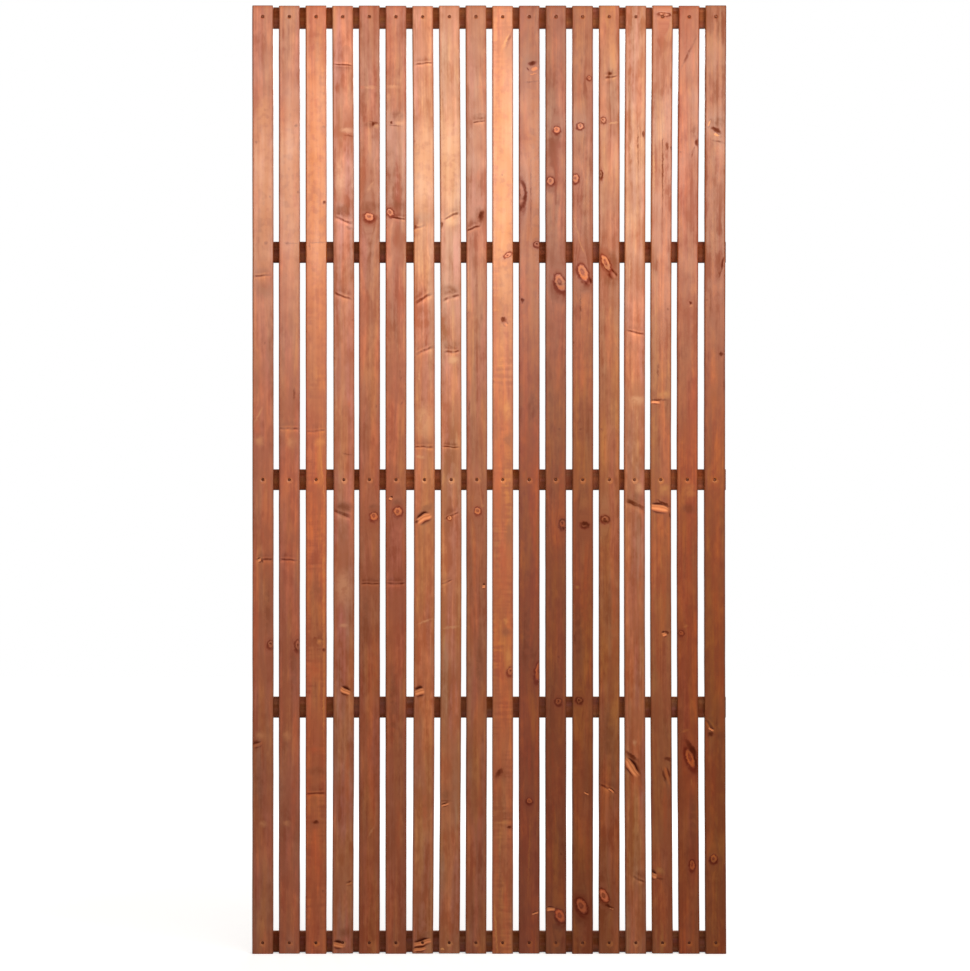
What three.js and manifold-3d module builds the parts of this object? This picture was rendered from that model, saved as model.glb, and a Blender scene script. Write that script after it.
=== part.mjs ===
// Garden privacy screen: a flat panel of upright timber slats nailed to five cross rails.
//
// Millimetres, +Z up. The slats are on the front, which faces -Y, and the rails are behind them.
// The origin is the middle of the footprint, at the foot of the slats.
//
// Slats and rails are planed bars with eased long edges and square sawn ends. At the two end rails
// and the middle rail a nail goes in from the front, through the slat and into the rail. At the two
// rails between them it goes in from behind, through the rail and into the slat, so that its head
// doesn't show from the front. Every bar has the punched seats and the holes of its nails.

import * as THREE from "three";
import { mergeVertices } from "three/addons/utils/BufferGeometryUtils.js";
import Module from "manifold-3d";

// ---- Driving dimensions ----

const slatCount = 18;
const slatLength = 1800;
const slatWidth = 40;
const slatThickness = 16;
const slatGap = 10.6; // clear space between two slats
const slatEdgeRadius = 3; // planed easing along the four long edges

const railHeight = 40;
const railThickness = 16;
const railEdgeRadius = 2.5;
const railSetIn = 1; // from the slats' ends to the outer edge of the end rails
const innerRailSpacing = 433; // from the middle rail to the ones above and below it, centre to centre

const nailShankRadius = 1.2;
const nailHeadRadius = 2.8;
const nailHeadRim = 0.5; // straight edge of the head
const nailHeadCone = 0.9; // tapered underside of the head
const nailPoint = 4;
const nailSunk = 0.8; // how far the head is punched below the face of the wood
const nailCover = 3.2; // wood left between the point and the far face
const nailClearance = 0.3; // all round the nail in its hole

const roundSides = 8; // facets of a nail and of its hole
const edgeSteps = 2; // steps of an eased edge, of two facets each
const weldTolerance = 1e-4;

// ---- Places that follow from them ----

const slatPitch = slatWidth + slatGap;
const panelWidth = slatCount * slatWidth + (slatCount - 1) * slatGap;
const frontFace = -(slatThickness + railThickness) / 2;
const seam = frontFace + slatThickness; // the plane where slats and rails meet
const backFace = seam + railThickness;
const nailLength = slatThickness + railThickness - nailSunk - nailCover; // over the head

const slatPlaces = Array.from({ length: slatCount }, (_, i) => (i - (slatCount - 1) / 2) * slatPitch);

const middleOfHeight = slatLength / 2;
const endRailReach = middleOfHeight - railSetIn - railHeight / 2;
const rails = [
  { name: "top_rail", height: middleOfHeight + endRailReach, nailedFrom: "front" },
  { name: "upper_rail", height: middleOfHeight + innerRailSpacing, nailedFrom: "back" },
  { name: "middle_rail", height: middleOfHeight, nailedFrom: "front" },
  { name: "lower_rail", height: middleOfHeight - innerRailSpacing, nailedFrom: "back" },
  { name: "bottom_rail", height: middleOfHeight - endRailReach, nailedFrom: "front" },
];

// ---- Joining and cutting ----

const wasm = await Module();
wasm.setup();

function solidOf(geometry) {
  const bare = new THREE.BufferGeometry();
  bare.setAttribute("position", geometry.getAttribute("position"));
  bare.setIndex(geometry.getIndex());
  const merged = mergeVertices(bare, weldTolerance);
  return new wasm.Manifold(
    new wasm.Mesh({
      numProp: 3,
      vertProperties: new Float32Array(merged.getAttribute("position").array),
      triVerts: new Uint32Array(merged.getIndex().array),
    }),
  );
}

function geometryOf(solid) {
  const { vertProperties, triVerts } = solid.getMesh();
  const geometry = new THREE.BufferGeometry();
  geometry.setAttribute("position", new THREE.BufferAttribute(vertProperties, 3));
  geometry.setIndex(new THREE.BufferAttribute(triVerts, 1));
  const faceted = geometry.toNonIndexed();
  faceted.computeVertexNormals();
  return faceted;
}

function withHoles(bar, holes) {
  return geometryOf(holes.reduce((left, hole) => left.subtract(solidOf(hole)), solidOf(bar)));
}

// ---- Shapes ----

// The section of a planed bar: a rectangle about the origin with its four corners eased.
function easedRectangle(width, height, radius) {
  const shape = new THREE.Shape();
  const x = width / 2 - radius;
  const y = height / 2 - radius;
  shape.absarc(x, y, radius, 0, Math.PI / 2, false);
  shape.absarc(-x, y, radius, Math.PI / 2, Math.PI, false);
  shape.absarc(-x, -y, radius, Math.PI, Math.PI * 1.5, false);
  shape.absarc(x, -y, radius, Math.PI * 1.5, Math.PI * 2, false);
  return shape;
}

// A bar along +Z from 0 to its length, with its section about the Z axis.
function planedBar(width, thickness, length, radius) {
  return new THREE.ExtrudeGeometry(easedRectangle(width, thickness, radius), {
    depth: length,
    curveSegments: edgeSteps,
    bevelEnabled: false,
  });
}

// A nail turned about the Y axis and driven along +Y, with the top of its head at y = 0.
// grow widens it all round into the room that its hole gives it, and mouth carries the head's
// width back past y = 0, as the punch leaves it.
function nailGeometry(grow = 0, mouth = 0) {
  const head = nailHeadRadius + grow;
  const shank = nailShankRadius + grow;
  const underHead = nailHeadRim + nailHeadCone + grow;
  const profile = [
    [0, -mouth],
    [head, -mouth],
    [head, nailHeadRim + grow],
    [shank, underHead],
    [shank, nailLength - nailPoint + grow],
    [0, nailLength + grow],
  ];
  // A lathe's faces point out when its profile is drawn upwards, so this one is drawn from the point.
  const points = profile.reverse().map(([radius, depth]) => new THREE.Vector2(radius, -depth));
  return new THREE.LatheGeometry(points, roundSides).rotateX(Math.PI);
}

// The room that a nail takes in the wood, in the frame of the whole panel's depth: its seat opens
// on the front face, or on the back face with the nail turned round.
function nailRoom(x, z, nailedFrom) {
  const past = 1; // carries the seat out through the face of the wood
  const room = nailGeometry(nailClearance, nailSunk + past);
  if (nailedFrom === "back") {
    return room.rotateZ(Math.PI).translate(x, backFace - nailSunk, z);
  }
  return room.translate(x, frontFace + nailSunk, z);
}

// One slat, standing on z = 0 with its middle on x = 0 and its own place in the depth.
function slatGeometry() {
  const bar = planedBar(slatWidth, slatThickness, slatLength, slatEdgeRadius);
  bar.translate(0, frontFace + slatThickness / 2, 0);
  const holes = rails.map((rail) => nailRoom(0, rail.height, rail.nailedFrom));
  return withHoles(bar, holes);
}

// One rail, lying along X with its middle on the origin in x and z and its own place in the depth.
function railGeometry(nailedFrom) {
  const bar = planedBar(railHeight, railThickness, panelWidth, railEdgeRadius);
  bar.translate(0, 0, -panelWidth / 2).rotateY(Math.PI / 2);
  bar.translate(0, backFace - railThickness / 2, 0);
  const holes = slatPlaces.map((x) => nailRoom(x, 0, nailedFrom));
  return withHoles(bar, holes);
}

// ---- Materials ----

// The same stain takes differently on every board, from a light amber to a deep red brown.
const amber = 0xb8703f;
const tan = 0xac6b48;
const rosy = 0xa36349;
const redBrown = 0x9c5a3c;
const deepRed = 0x8e4d33;
const slatTones = [
  redBrown, redBrown, amber, rosy, deepRed, redBrown, tan, tan, redBrown,
  amber, deepRed, deepRed, deepRed, redBrown, tan, redBrown, deepRed, deepRed,
];
const railTone = 0x7d422b;
const steelTone = 0x9a938c;

function stainedPine(color) {
  return new THREE.MeshStandardMaterial({ color, roughness: 0.5, metalness: 0 });
}

function brightSteel() {
  return new THREE.MeshStandardMaterial({ color: steelTone, roughness: 0.35, metalness: 1 });
}

// ---- The panel ----

const panel = new THREE.Group();

function add(name, geometry, material, x, z, y = 0) {
  const mesh = new THREE.Mesh(geometry, material);
  mesh.name = name;
  mesh.position.set(x, y, z);
  panel.add(mesh);
}

const twoDigits = (i) => String(i + 1).padStart(2, "0");

const slat = slatGeometry();
slatPlaces.forEach((x, i) => {
  add(`slat_${twoDigits(i)}`, slat, stainedPine(slatTones[i % slatTones.length]), x, 0);
});

const railShapes = { front: railGeometry("front"), back: railGeometry("back") };
for (const rail of rails) {
  add(rail.name, railShapes[rail.nailedFrom], stainedPine(railTone), 0, rail.height);
}

// The nails of the two end rails are pieces of their own.
const nail = nailGeometry();
for (const rail of [rails[0], rails[rails.length - 1]]) {
  slatPlaces.forEach((x, i) => {
    add(`${rail.name}_nail_${twoDigits(i)}`, nail, brightSteel(), x, rail.height, frontFace + nailSunk);
  });
}

export default panel;
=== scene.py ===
"""A garden privacy screen: eighteen stained pine slats nailed to five cross rails, as in its photograph.

Slats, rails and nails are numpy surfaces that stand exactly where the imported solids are. The script's
own sizes are in millimetres, and MM turns them to the frame's metres.
"""
import math
from collections import namedtuple

import bpy
import numpy as np
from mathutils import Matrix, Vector


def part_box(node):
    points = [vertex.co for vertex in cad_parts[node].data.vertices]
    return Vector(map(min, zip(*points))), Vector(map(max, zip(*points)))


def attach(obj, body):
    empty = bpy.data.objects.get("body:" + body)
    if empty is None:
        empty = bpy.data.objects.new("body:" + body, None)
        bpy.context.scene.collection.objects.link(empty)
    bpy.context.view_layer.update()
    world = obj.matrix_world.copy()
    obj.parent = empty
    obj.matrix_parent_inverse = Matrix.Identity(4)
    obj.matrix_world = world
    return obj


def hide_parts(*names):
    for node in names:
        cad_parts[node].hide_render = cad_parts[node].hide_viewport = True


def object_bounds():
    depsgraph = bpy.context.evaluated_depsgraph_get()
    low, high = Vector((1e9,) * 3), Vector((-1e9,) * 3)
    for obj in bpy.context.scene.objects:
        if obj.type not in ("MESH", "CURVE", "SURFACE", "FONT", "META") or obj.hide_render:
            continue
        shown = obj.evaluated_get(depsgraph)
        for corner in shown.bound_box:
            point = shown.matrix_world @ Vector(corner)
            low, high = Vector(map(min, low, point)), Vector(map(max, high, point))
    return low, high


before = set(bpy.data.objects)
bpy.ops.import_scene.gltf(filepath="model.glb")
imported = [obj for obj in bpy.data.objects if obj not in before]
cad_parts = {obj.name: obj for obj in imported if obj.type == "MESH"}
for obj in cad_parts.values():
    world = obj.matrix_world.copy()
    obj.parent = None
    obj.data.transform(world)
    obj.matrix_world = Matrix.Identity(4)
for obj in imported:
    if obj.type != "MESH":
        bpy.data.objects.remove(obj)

MM = 0.001
CAD_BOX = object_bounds()

# ---- Sizes, in millimetres ----

SLATS = 18
RAILS = ("top_rail", "upper_rail", "middle_rail", "lower_rail", "bottom_rail")
NAILED_FROM_BEHIND = ("upper_rail", "lower_rail")

SLAT_EASE = 3.0  # radius of a slat's planed edges
RAIL_EASE = 2.5
EASE_STEPS = 5  # faces round one eased edge
END_EASE = 0.5  # the sawn ends' arris, rubbed off
END_SCALES = (0.93, 0.5)  # the inner rings of faces on a sawn end, as shares of the outer one
SAWN_REACH = 40.0  # how far along a board the rows of faces make up for what the saw took
END_NAILS = 21.0  # from a slat's ends to the nails between which it bows
EDGE_WANDER = 0.3  # how far the plane let a board's edges wander
WANDER_WAVES = (600, 340, 190, 110, 60)  # lengths of the waves in that wander
WANDER_TOTAL = 2.2  # about how far they reach together, when the longest one reaches 1
OTHER_EDGE = 50  # added to a board's random seed for its other edge
CUP = 0.12  # how deep the edges of a board's near face lie below its middle
KNOT_HOLLOW = 0.28  # depth of the hollow along a knot's rim
RIM_WIDTH = 0.22  # half width of that hollow, as a share of the knot's half width
SMALL_KNOT = 4.0  # a knot of no more than this half width has no hollow
ROW_STEP = 7.0  # rows of faces along a board
CLOSEST_ROWS = 0.15
MARK_ROWS = 15  # rows of faces over a mark
MARK_REACH = 1.9  # how far those rows go each way, in half heights of the mark

HEAD_SUNK = 0.8  # how deep a nail's head sits below the face
SUNK_DEEPER = 0.12  # how much deeper the punch left some of them
NAIL_LENGTH = 28.0
NAIL_SIDES = 14
SEAT_RINGS = np.array([0.0, 1.5, 2.9, 3.1, 3.5, 4.2, 5.2])  # radii of the rings of faces round a nail
SEAT_DEPTHS = np.array([1.4, 1.4, 1.4, 0.5, 0.14, 0.0, 0.0])  # punched wood under and round the head
FACE_STEPS = np.array([7.2, 9.4, 11.8, 14.2, 16.3])  # columns of faces further out


# ---- What each board is ----

# A mark in the wood. across and up are its place from the middle of a slat and from its foot, or along
# a rail from its middle and from its centre line. The next two are half its width and half its height,
# and lean turns its top to the right, in degrees, as seen from the front. Its kind is one of these:
# - knot, ring, eye and pin: dull knots, knots with a bright ring, the brightest of those, and small ones;
# - dark, streak and shade: resin or bark, a thin dark streak, and darker wood, partly wood that took more
#   stain and partly painted shade above knots and creases;
# - glow, sheen and pale: orange heart wood, a painted highlight where fibres dip, and a wide pale stretch,
#   partly paler wood and partly painted sheen;
# - crease, split, lens and chip: a wrinkle across the board and lifted fibres over a slit, both drawn in
#   painted light and shade, and a sliver and a chip of torn wood, the sliver with painted shade in a slit
#   above it;
# - bruise: the pale wood round a punched nail.
Mark = namedtuple("Mark", "kind across up half_wide half_high lean", defaults=(0,))

# A board's look: its tone; where the heart of the tree lay, across and behind the face, and how it
# leans along the board, in degrees; the ring spacing; the planer's chatter; its gloss and roughness.
Look = namedtuple(
    "Look", "tone heart_across heart_behind lean_across lean_behind rings chatter gloss rough",
    defaults=(0.43,),
)

LOOKS = {
    1: Look(0x9A4E26, 8, 60, 0.4, 1.1, 4.2, 0.0, 0.62),
    2: Look(0x9A4C24, -14, 75, -0.3, 0.9, 3.8, 0.0, 0.66),
    3: Look(0xA8501A, 90, 160, 0.2, 0.3, 4.6, 0.8, 0.66),
    4: Look(0xA25A36, -6, 50, 0.5, -1.0, 4.0, 0.0, 0.5),
    5: Look(0x964C26, 12, 85, -0.4, 0.8, 3.6, 0.0, 0.44),
    6: Look(0x964C26, -60, 120, 0.3, 0.5, 4.4, 0.0, 0.5),
    7: Look(0xA65E34, 5, 45, 0.3, 1.3, 4.8, 0.0, 0.55),
    8: Look(0xA46036, -9, 55, -0.5, -1.2, 4.6, 0.0, 0.6),
    9: Look(0x944E26, 16, 70, 0.4, 0.9, 3.9, 0.0, 0.52),
    10: Look(0xA6541E, 0, 90, 0.3, 0.7, 5.0, 0.9, 0.7),
    11: Look(0x82380E, -18, 60, 0.5, 1.0, 3.5, 0.0, 0.48),
    12: Look(0x7E3A12, 10, 40, -0.4, 1.2, 3.7, 0.0, 0.4),
    13: Look(0x844016, -5, 38, 0.3, 1.2, 3.7, 0.1, 0.36),
    14: Look(0x904C22, 14, 42, -0.3, -1.1, 3.8, 0.0, 0.36),
    15: Look(0x9E5A34, -70, 110, 0.5, 0.4, 4.3, 0.0, 0.42),
    16: Look(0x904A1C, 6, 48, 0.6, 1.4, 4.1, 0.1, 0.46),
    17: Look(0x8C4016, 60, 100, -0.5, 0.6, 4.0, 0.0, 0.36),
    18: Look(0x844012, -12, 52, 0.4, 1.0, 3.9, 0.0, 0.36),
}

# How far a slat bows to the right at its middle, as boards do when they dry.
BOWS = (0.5, 0.0, 0.4, 2.4, 0.3, 0.0, 3.5, 3.5, 1.6, 0.3, 0.0, -0.3, 0.4, 0.2, -2.6, -3.5, -3.5, -2.2)

# How far the saw left a slat short, at its head and at its foot.
SHORT_AT_HEAD = (0.0, 0.6, 0.3, 0.9, 0.4, 0.8, 1.2, 0.5, 0.2, 1.0, 0.6, 0.4, 0.9, 0.3, 0.7, 0.2, 0.8, 0.0)
SHORT_AT_FOOT = (0.0, 0.7, 0.2, 1.0, 0.5, 0.3, 0.8, 1.1, 0.6, 0.4, 0.9, 0.2, 0.0, 0.7, 0.5, 1.0, 0.4, 0.0)

# Each slat's marks by kind, with their other values in the order of Mark. Later ones lie over earlier ones
# where they are slanted, so slivers come last.
SLAT_MARKS = {
    1: """
        pin -12 1541 2.6 2.6, 14 1437 2 2, 6 1349 3.4 3.4, 4 1159 2.4 2.4, 19 581 2.5 4;
        crease -1 1287 18 3 -5, 4 748 19 3; shade 4 1262 16 16, 10 660 8 60, -8 330 9 50;
        sheen -7 1025 2.5 18 27, -8 975 10 10, -5 416 10 9, 0 248 8 6, 0 1600 14 40; glow -10 996 6 10,
        12 880 4 60, -12 620 5 60; dark -1 746 3 3; knot 15 589 6 7; split -11 400 12 4 -28;
        pale 0 1480 26 200; lens -5 748 4 3 -20
    """,
    2: """
        pin 13 1572 3 3, 17 1446 2.5 3, -4 1349 3 3; streak 3 1349 14 1.2, 9 1066 2 12; crease 0 996 20 3,
        -2 747 19 3; sheen 2 972 12 10, -6 415 9 10, -5 249 8 6, 16 105 4 7; knot 16 587 6 10;
        glow -13 900 4 70, 8 300 5 60; shade 8 560 8 60; pale 0 1480 26 240
    """,
    3: """
        pin 15 1570 3 3, -2 601 3 3, 13 120 2.5 2.5; sheen 0 1522 2 16, 6 972 12 8, 13 900 1.4 60 -4,
        13 740 1.4 30, 6 593 5 5, 14 470 1.4 60, 15 700 3 210; dark 16 1427 4 3, 15 578 4 4, -1 251 7 4;
        streak -1 1350 18 1.2 -3, -12 1346 1.3 8; crease 0 992 20 3, 0 304 19 3; glow 14 830 3.5 130,
        -3 540 14 22, -3 388 14 7, 0 200 15 60; shade 10 600 12 14, 0 692 16 22, 0 348 18 9, -2 249 12 10;
        pale 0 1480 30 330
    """,
    4: """
        crease 0 1687 20 2.4 188, 1 1391 21 4 19, 0 1248 19 3.5 22, 0 834 20 5 20; streak 10 1553 9 1.5 10,
        12 1379 7 3.5 18, 8 949 9 1.8 12, 5 507 10 2 20; sheen 6 1564 12 5, 0 700 17 36, 1 624 9 4,
        -6 1480 9 40; shade -2 1413 19 13, 0 848 19 11, 3 42 12 9; glow 10 1371 7 4, 12 1045 4 8,
        8 330 6 70; pin 19 1203 3 3, -15 1131 3 3; split 11 134 7 3 -15; lens 5 499 11 5 20, -8 19 13 5 6
    """,
    5: """
        glow -14 1645 5 4, 16 1051 3 10, 5 300 4 60, 10 560 5 60; sheen 1 1645 12 3.5, 14 1571 7 4,
        3 1458 3 12 35, 4 234 2.5 12 30; shade 2 1574 14 6, 0 1418 19 12, 8 848 10 7, -8 640 8 50;
        streak 8 1579 9 1.6 12, 10 1398 7 5 10; dark 7 1576 3 4; ring -1 1400 9 7.5 15, 8 832 7.5 8 10;
        pin 13 1040 2 3, -12 709 2.4 2.4; crease 4 702 19 2.5 3
    """,
    6: """
        sheen -8 1646 12 4, -15 1626 4 9, 5 1577 10 4; shade 2 1592 16 9, 0 1420 19 12, 3 858 12 8,
        -6 480 9 80; streak -4 1572 12 1.5 6, -1 1401 13 2 40, 8 1099 2 10; dark -9 1578 3 3;
        ring -12 1408 6 8 -30, 3 841 8 8.5; crease 6 1394 15 2.5 8, 0 702 19 2.5 -3; glow 14 1215 3 8,
        13 1043 3 9, 14 780 3 50, 4 250 6 60, -8 14 6 9; pin 11 1046 2 4 30; lens -10 863 4 3 20
    """,
    7: """
        crease 1 1688 20 2.6 -4, -7 1378 14 3.5 -25, 3 1244 21 4 -30, 4 1143 19 3.5 -24, 2 962 19 2.6;
        pin -16 1543 2.5 2.5; pale 0 1500 24 110; dark -14 1380 3 4, -13 820 5 3 -30; shade 0 1400 19 12,
        6 846 14 7 -30, 2 36 15 6 -15; sheen -7 1099 2 12, 2 1015 18 34, -5 944 8 4 10, 3 631 15 2.2 -20;
        streak -9 506 9 2 -20; glow -16 130 3 9, 4 280 5 70; lens 2 827 17 6.2 -30, -5 499 10 6 -8,
        0 23 19 4.5 -14, -5 10 14 3.5 -12
    """,
    8: """
        dark -15 1385 4 6; crease 6 1400 16 3 -20, 4 1245 18 3.5 -15, 4 1142 17 3 -10, 2 962 19 2,
        5 832 15 3 -25, -5 706 13 2.5 -25; sheen 2 1388 12 7 -15, 6 1128 12 9, 0 620 14 2.5 -8;
        pale 0 1520 24 120; shade 0 1262 18 11, 2 1158 17 8, -6 303 10 10; ring 0 828 4 4;
        streak -7 291 11 1.8; chip -14 10 5 2.4; glow 9 470 5 60; lens -8 284 10 2 -14
    """,
    9: """
        glow 9 1645 10 3.5, 4 1479 5 10, 8 1350 4 4, -4 740 4 70, 6 300 5 80; crease 5 1579 12 2.6 -10,
        -5 1376 16 3 -25; shade 6 1590 12 7, 8 1405 13 18, 6 560 7 60; dark 10 1402 6 13 20;
        pin -15 1218 2.5 2.5; sheen -17 1228 1.5 14, 12 850 4 3 -40; streak -13 1038 1.4 18;
        ring 3 842 6.5 6.5 20; lens 15 698 4 3
    """,
    10: """
        streak 13 1738 3 16 20; sheen 7 1735 3 18 25, -4 1400 14 70, -1 1348 8 14 20, 8 1035 8 20,
        5 633 5 6, 10 563 6 22, 6 250 8 6, -14 60 2 60 -4; shade 10 1712 8 12, 10 978 10 14, 10 800 8 20,
        6 612 9 8, -4 340 13 15, 10 262 8 14; pin -1 1479 1.6 1.6, -18 1087 2.5 2.5; pale 0 1500 30 330;
        knot 9 1326 8 4 -35, 15 538 6 8 20; glow 3 1312 14 7, -10 900 7 130, -2 740 15 80, -12 605 5 40,
        -12 190 5 80, 6 90 8 70; dark 1 1205 6 6 20, -6 346 6 12 40, 12 241 5 3 -20; split 5 1196 6 3 40
    """,
    11: """
        glow 9 1680 10 13 25, 0 380 3 70; dark 4 1690 10 4.5 -15, -3 1680 5 2.2 50, -17 1416 3 7,
        -13 1241 4 6; chip 8 1679 8 5 -25, 6 1670 9 2.4 -12; shade 4 1692 17 20, 6 1040 10 30, -4 572 18 34,
        -6 620 9 70; streak 2 1655 14 1.5 -8, 3 1450 1.5 70; pale 4 1500 22 260; knot -22 1446 13 27,
        14 1347 6 5; sheen -4 1420 2 60, 9 521 8 6, 0 200 1.5 75 2; ring 19 541 8 19 14, 0 291 5.5 5.5;
        lens 13 78 8 2 -20
    """,
    12: """
        ring 1 1565 6 6.5, -11 1468 7 7.5, 6 1276 9.5 17 -20; shade 2 1553 7 5, -11 1452 7 6, 2 1262 17 24,
        3 54 12 12; glow -8 1296 6 14 -20, -12 1159 4 4, 9 900 5 70, -6 350 4 80; pin 6 996 2.4 2.4,
        5 564 2 3, 10 190 3 2.6; knot 12 818 6 9, 4 480 6 6.5; dark 14 808 3 4; eye 6 74 8.5 14 -25;
        lens -9 85 9 2.6 -8
    """,
    13: """
        knot 12 1663 4 4, 3 815 7 5, -7 482 6 6; ring -5 1572 6 6, -14 1473 6 8, -1 1295 8.5 17 -22;
        glow -8 1640 4 50, 5 700 4 90, 8 200 6 70; sheen -13 1384 1.3 28 -14, -3 1345 1.3 18 -24,
        -11 697 4 3; split 12 1277 7 4 60; streak -4 1236 1.4 34, -15 599 1.5 10; shade 3 1264 12 8,
        -3 68 13 12, -9 620 8 60; pin -17 1161 2.5 2.5, -4 996 2.4 2.4; dark 4 817 10 4.5 8;
        eye -4 93 9 16 -25; lens 8 306 6 1.6 25
    """,
    14: """
        dark 1 1671 4 4, -8 822 5 3 15, -2 92 11 2.6 28; crease 3 1664 13 3 -15, -3 314 20 3.5 28;
        knot -12 1583 5 5.5, -17 1480 4 7, -9 826 8 6; sheen 7 1577 9 2 -10; ring -8 1313 6.5 17 -24;
        shade 6 1317 10 20 -15, 2 1280 16 14, -3 420 10 60; split 5 1290 12 4 50; pin -15 996 2.5 2.5;
        eye -12 112 7.5 14 -25; glow 8 640 5 90; lens 4 310 6 2 40, 3 87 4 2 30
    """,
    15: """
        sheen -10 1526 2.5 14, 0 1052 17 10, 6 884 8 12, -3 402 4 6; dark 14 1557 3 7, -10 378 16 4 38;
        streak 4 1540 1.4 60; crease 0 1178 20 3 10, 0 850 21 5.5 26, 5 141 14 3.2 33; shade -6 858 15 9 22;
        glow 2 330 4 26 -30, 9 700 4 80; lens -8 355 25 6 53
    """,
    16: """
        knot 2 1784 10 3.5 6; dark 17 1530 2.6 5, 0 857 16 2.4 26, 14 832 2 9 -20, 8 611 4 3, 11 371 9 5 12,
        17 345 2.4 22 -6; sheen -17 1500 2 55, 2 1062 14 8, 4 882 12 12, -6 160 9 6 25; streak 8 1534 2.5 8,
        0 1500 1.4 80, -9 1108 2 20, -3 1052 14 2, 2 338 2 18 -16, -10 144 12 1.6 8; pin 10 1224 2.5 2.5;
        glow 2 700 5 80, 9 342 6 20 -14, 4 280 5 60; split 10 338 20 4 76; lens -13 1046 10 3 -4,
        -7 846 21 5.5 14, 3 607 5 3 -20, -19 151 10 4.5 12
    """,
    17: """
        streak 0 1713 2.5 34 26, 8 1525 2 10 20; dark 14 1541 4 8, 2 1236 3 4, 3 394 27 6 57,
        11 372 20 3 74; shade 10 1560 8 14, -2 846 15 9, 6 260 8 60; pin -17 1522 2.4 2.4, 15 1131 2.6 3;
        sheen 3 1230 3 3, 0 880 13 16, -8 622 5 3 -30, -8 424 8 2.5 -20, 4 328 2 7; knot -16 610 5 5;
        ring 0 374 7.5 20 -20, 5 170 5 10; glow 8 66 1.8 50, -2 720 6 100
    """,
    18: """
        chip -13 1577 2.6 8 20, 1 1555 8 2.8 24; dark -1 1565 12 5 28, 10 1139 4 5, -10 418 6 5;
        streak 4 1542 14 1.6 12, 12 1300 2 14 25, 15 1080 2 9; shade 0 1580 16 10, 19 620 4 120,
        10 415 9 10; split 16 1311 14 4 -74; pin -17 1241 2.4 2.4; crease -12 436 15 3 50; glow 10 500 5 90;
        ring -5 182 6.5 8; sheen 17 175 2.5 6; lens -7 426 6 2 40
    """,
}

# Rails are rougher and duller. Each has its own tone, heart and lean, from the top rail to the bottom one.
RAIL_LOOK = Look(0x783E26, 10, 55, 0.5, 0.9, 3.9, 0.15, 0.12, 0.7)
RAIL_TONES = (0x7E4224, 0x6A341C, 0x824426, 0x8C5034, 0x905236)

# The first random seeds of the rails and of their nails. A slat's seed is its number.
RAIL_SEED = 31
NAIL_SEED = 60

RAIL_MARKS = {
    "top_rail": "knot -326 5 8 6; pin 80 -9 3 3; ring 278 -3 13 6 12",
    "upper_rail": "knot 28 -8 7 5; pin 380 6 4 3",
    "middle_rail": "knot -377 -6 6 5, -74 8 8 6; ring 176 -4 14 6 8",
    "lower_rail": "pin -275 7 4 3; ring -76 0 13 7 -10; knot 328 -7 7 5",
    "bottom_rail": "ring -380 -5 12 6 10; pin 25 8 4 4; knot 226 3 7 6",
}

KNOTS = ("knot", "ring", "eye", "pin")  # the marks that the fibres flow round
FLOW_REACH = 1.1  # half width of the fibres' bend round a knot, as a share of the knot's
FLOW_STRETCH = 0.3  # width of that bend, as a share of its length


def marks_of(table):
    """The marks of one board's table: kinds end with a semicolon, and one kind's marks with a comma."""
    groups = [group.split(maxsplit=1) for group in table.split(";")]
    return [Mark(kind, *map(float, row.split())) for kind, rows in groups for row in rows.split(",")]


# ---- Surfaces ----

def board_section(wide, thick, ease):
    """Points round a planed board's section, as across and depth, from the middle of the far face.

    The near face lies at depth 0. Four straight faces are joined by quarter circles of the easing's
    radius, and the points run anticlockwise, from across towards depth.
    """
    flat = wide / 2 - ease
    turn = np.linspace(0, np.pi / 2, EASE_STEPS + 1)
    corners = []
    for quarter, (across, depth) in enumerate(
        [(flat, thick - ease), (-flat, thick - ease), (-flat, ease), (flat, ease)]
    ):
        angle = quarter * np.pi / 2 + turn
        corners.append((across + ease * np.cos(angle), depth + ease * np.sin(angle)))
    out = np.concatenate([SEAT_RINGS, FACE_STEPS])
    near = np.concatenate([-out[:0:-1], out])
    far = flat * np.array([0.35, 0.7])
    side = np.array([thick / 2])
    across = np.concatenate([
        [0], -far, corners[1][0], -wide / 2 + 0 * side, corners[2][0], near,
        corners[3][0], wide / 2 + 0 * side, corners[0][0], far[::-1],
    ])
    depth = np.concatenate([
        [thick], thick + 0 * far, corners[1][1], side, corners[2][1], 0 * near,
        corners[3][1], side, corners[0][1], thick + 0 * far,
    ])
    return across, depth


def board_rows(length, nails, marks):
    """Places of the rows of faces along a board: even steps, and finer ones at nails and marks."""
    even = np.linspace(END_EASE, length - END_EASE, round(length / ROW_STEP) + 1)
    spans = [mark.up + MARK_REACH * mark.half_high * np.linspace(-1, 1, MARK_ROWS) for mark in marks]
    loose = np.concatenate([even, [3 * END_EASE, length - 3 * END_EASE], *spans])
    loose = np.unique(np.round(loose, 1))
    rings = np.concatenate([-SEAT_RINGS[:0:-1], SEAT_RINGS])
    exact = (np.array(nails, float)[:, None] + rings).ravel()
    if len(nails):
        loose = loose[np.abs(loose[:, None] - np.array(nails)).min(axis=1) > SEAT_RINGS[-1] + 0.5]
    rows = np.sort(np.concatenate([loose, exact]))
    rows = rows[(rows >= END_EASE) & (rows <= length - END_EASE)]
    return rows[np.concatenate([[True], np.diff(rows) > CLOSEST_ROWS])]


def slow_wander(along, seed):
    """An edge's wander along a board: five sines of random phase, the longest ones the deepest."""
    random = np.random.default_rng(seed)
    total = np.zeros_like(along)
    for wave in WANDER_WAVES:
        deep = (wave / WANDER_WAVES[0]) ** 0.7
        total += deep * np.sin(2 * np.pi * (along / wave + random.random()))
    return EDGE_WANDER * total / WANDER_TOTAL


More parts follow.
